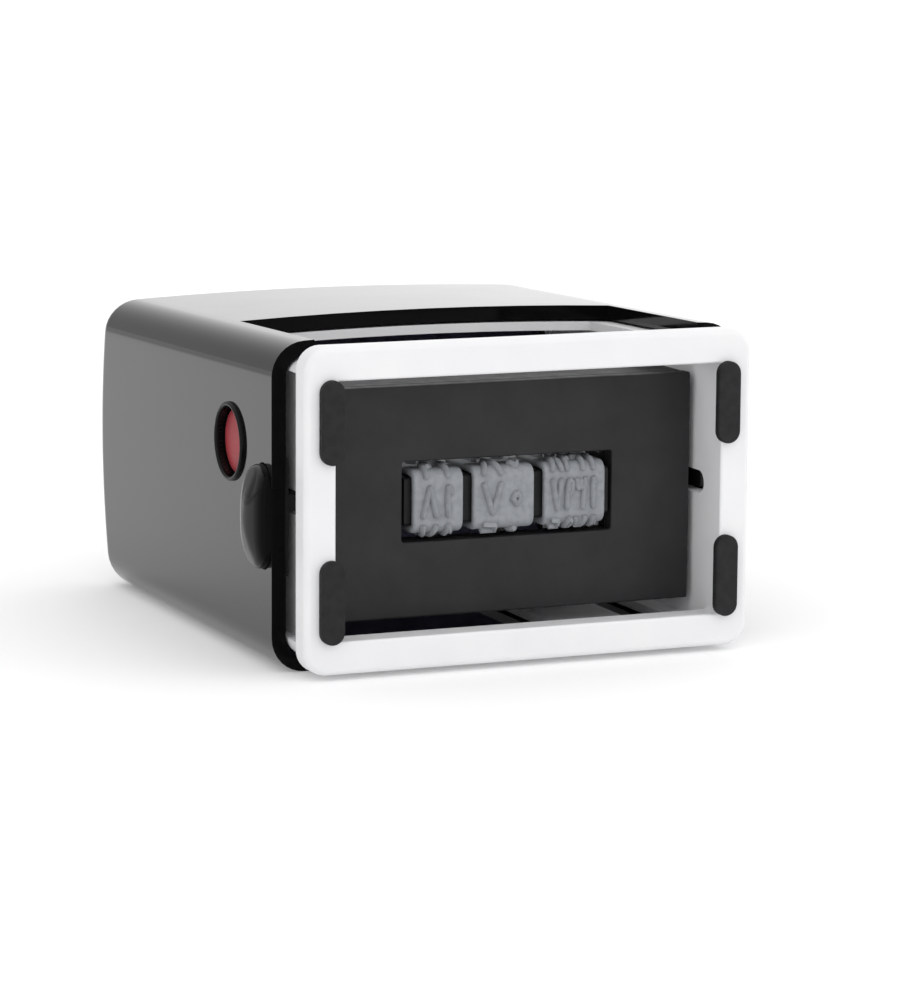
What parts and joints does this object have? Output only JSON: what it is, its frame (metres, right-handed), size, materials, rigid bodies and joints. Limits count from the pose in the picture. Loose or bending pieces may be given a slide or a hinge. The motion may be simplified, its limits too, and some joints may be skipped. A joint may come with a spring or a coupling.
{
  "type": "self-inking date stamp",
  "caption": "Self-inking date stamp lying on its back: a cap that slides over a base frame, a swivelling text plate with date bands, and lock and release buttons.",
  "frame": {"origin": "middle of the stamp's outline, on the surface that its back lies on", "axes": "+Y along the stamp, from its feet to the top of its cap; +Z out of its front; X across"},
  "size_m": [0.0702, 0.079, 0.042],
  "materials": {
    "cap_black": "gloss",
    "frame_white": "satin",
    "foot_rubber": "matte",
    "plate_charcoal": "matte",
    "carrier_black": "satin",
    "band_rubber": "matte",
    "wheel_plastic": "satin",
    "button_red": "gloss",
    "steel": "brushed",
    "pad_felt": "matte"
  },
  "bodies": {
    "frame": {"base_frame": "frame_white", "foot_front_left": "foot_rubber", "foot_front_right": "foot_rubber", "foot_rear_left": "foot_rubber", "foot_rear_right": "foot_rubber", "ink_tray": "carrier_black", "ink_pad": "pad_felt", "return_spring_left": "steel", "return_spring_right": "steel"},
    "cap": {"cap_shell": "cap_black", "press_bow": "carrier_black"},
    "die": {"die_carrier": "carrier_black", "text_plate": "plate_charcoal", "band_former": "carrier_black", "trunnion_left": "carrier_black", "trunnion_right": "carrier_black", "cam_pin_left": "steel", "cam_pin_right": "steel", "wheel_axle": "steel", "axle_clip_left": "steel", "axle_clip_right": "steel", "date_band_day": "band_rubber", "date_band_month": "band_rubber", "date_band_year": "band_rubber"},
    "day_wheel": {"day_wheel": "wheel_plastic"},
    "month_wheel": {"month_wheel": "wheel_plastic"},
    "year_wheel": {"year_wheel": "wheel_plastic"},
    "lock_left": {"lock_button_left": "cap_black"},
    "lock_right": {"lock_button_right": "cap_black"},
    "red_left": {"red_button_left": "button_red"},
    "red_right": {"red_button_right": "button_red"}
  },
  "joints": [
    {"name": "cap_slide", "type": "slide", "parent": "frame", "child": "cap", "axis": [0, 1, 0], "range_m": [0, 0.029], "deforming": ["return_spring_left", "return_spring_right"]},
    {"name": "die_flip", "type": "hinge", "parent": "cap", "child": "die", "pos_m": [0, -0.0234, 0.0213], "axis": [1, 0, 0], "range_deg": [0, 180]},
    {"name": "day_wheel_spin", "type": "hinge", "parent": "die", "child": "day_wheel", "pos_m": [0, -0.0169, 0.0207], "axis": [1, 0, 0], "continuous": true},
    {"name": "month_wheel_spin", "type": "hinge", "parent": "die", "child": "month_wheel", "pos_m": [0, -0.0169, 0.0207], "axis": [1, 0, 0], "continuous": true},
    {"name": "year_wheel_spin", "type": "hinge", "parent": "die", "child": "year_wheel", "pos_m": [0, -0.0169, 0.0207], "axis": [1, 0, 0], "continuous": true},
    {"name": "lock_left_press", "type": "slide", "parent": "cap", "child": "lock_left", "axis": [1, 0, 0], "range_m": [0, 0.0009], "stiffness_N_per_m": 300},
    {"name": "lock_right_press", "type": "slide", "parent": "cap", "child": "lock_right", "axis": [-1, 0, 0], "range_m": [0, 0.0009], "stiffness_N_per_m": 300},
    {"name": "red_left_press", "type": "slide", "parent": "cap", "child": "red_left", "axis": [1, 0, 0], "range_m": [0, 0.0007], "stiffness_N_per_m": 300},
    {"name": "red_right_press", "type": "slide", "parent": "cap", "child": "red_right", "axis": [-1, 0, 0], "range_m": [0, 0.0007], "stiffness_N_per_m": 300}
  ],
  "couplings": [
    {"joint": "die_flip", "follows": "cap_slide", "rad_per_m": 108.33}
  ]
}
